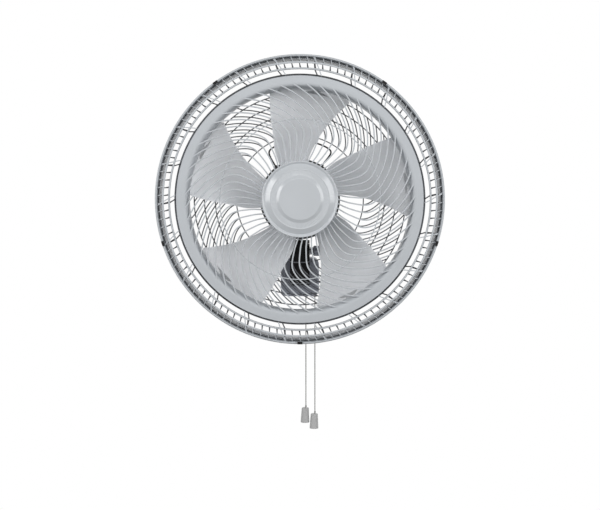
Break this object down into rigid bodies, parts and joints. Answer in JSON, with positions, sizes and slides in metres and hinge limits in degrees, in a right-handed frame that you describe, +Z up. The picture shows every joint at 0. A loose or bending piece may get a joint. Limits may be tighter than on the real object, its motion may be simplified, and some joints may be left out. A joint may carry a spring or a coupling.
{
  "type": "wall mounted fan",
  "caption": "Round caged fan on a short tilting neck that stands out from a square wall base, with two pull cords and a swinging head.",
  "frame": {"origin": "centre of the wall plate's back face", "axes": "+Y into the wall, so the fan faces -Y; +Z up; +X to the right of someone who looks at the fan"},
  "size_m": [0.52, 0.2958, 0.7185],
  "materials": {
    "guard_plastic": "satin, moulded",
    "rear_guard_plastic": "satin, moulded",
    "blade_plastic": "satin, moulded",
    "black_plastic": "fine texture",
    "slate_plastic": "fine texture",
    "black_paint": "satin",
    "pull_plastic": "satin",
    "cord_fibre": "woven",
    "zinc_steel": "zinc plated",
    "core_steel": "stacked sheet",
    "copper_wire": "enamelled wire, stood in for by brass",
    "bronze_bush": "sintered",
    "white_plastic": "plain"
  },
  "bodies": {
    "wall_unit": {"wall_plate": "zinc_steel", "base_screw_top": "zinc_steel", "base_screw_bottom": "zinc_steel", "base_housing": "slate_plastic", "speed_switch": "white_plastic", "swing_switch": "white_plastic", "capacitor": "black_plastic", "terminal_block": "white_plastic", "cable_gland": "black_plastic", "speed_cord_bush": "black_plastic", "swing_cord_bush": "black_plastic", "neck_arm": "black_plastic", "tilt_bolt": "zinc_steel", "tilt_washer": "zinc_steel"},
    "knuckle": {"tilt_knuckle": "black_plastic", "swing_spindle": "zinc_steel", "retaining_ring": "zinc_steel"},
    "clamp_knob": {"tilt_knob": "slate_plastic"},
    "head": {"gearbox_housing": "black_plastic", "motor_rear_housing": "black_paint", "motor_front_shell": "black_paint", "stator_core": "core_steel", "winding_rear": "copper_wire", "winding_front": "copper_wire", "rear_bearing": "bronze_bush", "front_bearing": "bronze_bush", "carry_handle": "black_paint", "rear_guard": "rear_guard_plastic", "guard_nut": "black_plastic", "front_guard": "guard_plastic", "centre_cap": "guard_plastic"},
    "fan_rotor": {"rotor": "core_steel", "motor_shaft": "zinc_steel", "impeller": "blade_plastic", "spinner_nut": "black_plastic"},
    "crank": {"crank_wheel": "zinc_steel", "worm_wheel": "white_plastic"},
    "link": {"link_arm": "zinc_steel"},
    "speed_pull": {"speed_cord": "cord_fibre", "speed_pendant": "pull_plastic"},
    "swing_pull": {"swing_cord": "cord_fibre", "swing_pendant": "pull_plastic"},
    "clip_1": {"guard_clip_1": "black_plastic"},
    "clip_2": {"guard_clip_2": "black_plastic"},
    "clip_3": {"guard_clip_3": "black_plastic"},
    "clip_4": {"guard_clip_4": "black_plastic"},
    "clip_5": {"guard_clip_5": "black_plastic"}
  },
  "joints": [
    {"name": "tilt", "type": "hinge", "parent": "wall_unit", "child": "knuckle", "pos_m": [0, -0.095, 0.054], "axis": [1, 0, 0], "range_deg": [-5, 22]},
    {"name": "knob_turn", "type": "hinge", "parent": "wall_unit", "child": "clamp_knob", "pos_m": [0.03, -0.095, 0.054], "axis": [1, 0, 0], "range_deg": [0, 360]},
    {"name": "oscillation", "type": "hinge", "parent": "knuckle", "child": "head", "pos_m": [0, -0.095, 0.1], "axis": [0, 0, 1], "range_deg": [-40, 40]},
    {"name": "fan_spin", "type": "hinge", "parent": "head", "child": "fan_rotor", "pos_m": [0, -0.2, 0.155], "axis": [0, 1, 0], "continuous": true},
    {"name": "crank_turn", "type": "hinge", "parent": "head", "child": "crank", "pos_m": [-0.0205, -0.059, 0.1], "axis": [0, 0, 1], "range_deg": [-80, 80]},
    {"name": "link_swing", "type": "hinge", "parent": "crank", "child": "link", "pos_m": [-0.02011, -0.05201, 0.078], "axis": [0, 0, 1], "range_deg": [-82.4, 82.4]},
    {"name": "speed_pull", "type": "slide", "parent": "wall_unit", "child": "speed_pull", "axis": [0, 0, -1], "range_m": [0, 0.012], "stiffness_N_per_m": 600, "springref_m": -0.002},
    {"name": "swing_pull", "type": "slide", "parent": "wall_unit", "child": "swing_pull", "axis": [0, 0, -1], "range_m": [0, 0.012], "stiffness_N_per_m": 600, "springref_m": -0.002},
    {"name": "clip_1_latch", "type": "hinge", "parent": "head", "child": "clip_1", "pos_m": [0.15171, -0.262, 0.36381], "axis": [-0.809, 0, 0.5878], "range_deg": [0, 75]},
    {"name": "clip_2_latch", "type": "hinge", "parent": "head", "child": "clip_2", "pos_m": [0.24547, -0.262, 0.07524], "axis": [0.309, 0, 0.9511], "range_deg": [0, 75]},
    {"name": "clip_3_latch", "type": "hinge", "parent": "head", "child": "clip_3", "pos_m": [0, -0.262, -0.1031], "axis": [1, 0, 0], "range_deg": [0, 75]},
    {"name": "clip_4_latch", "type": "hinge", "parent": "head", "child": "clip_4", "pos_m": [-0.24547, -0.262, 0.07524], "axis": [0.309, 0, -0.9511], "range_deg": [0, 75]},
    {"name": "clip_5_latch", "type": "hinge", "parent": "head", "child": "clip_5", "pos_m": [-0.15171, -0.262, 0.36381], "axis": [-0.809, 0, -0.5878], "range_deg": [0, 75]}
  ],
  "couplings": [
    {"joint": "crank_turn", "follows": "oscillation", "ratio": -2},
    {"joint": "link_swing", "follows": "oscillation", "ratio": 2.06}
  ]
}
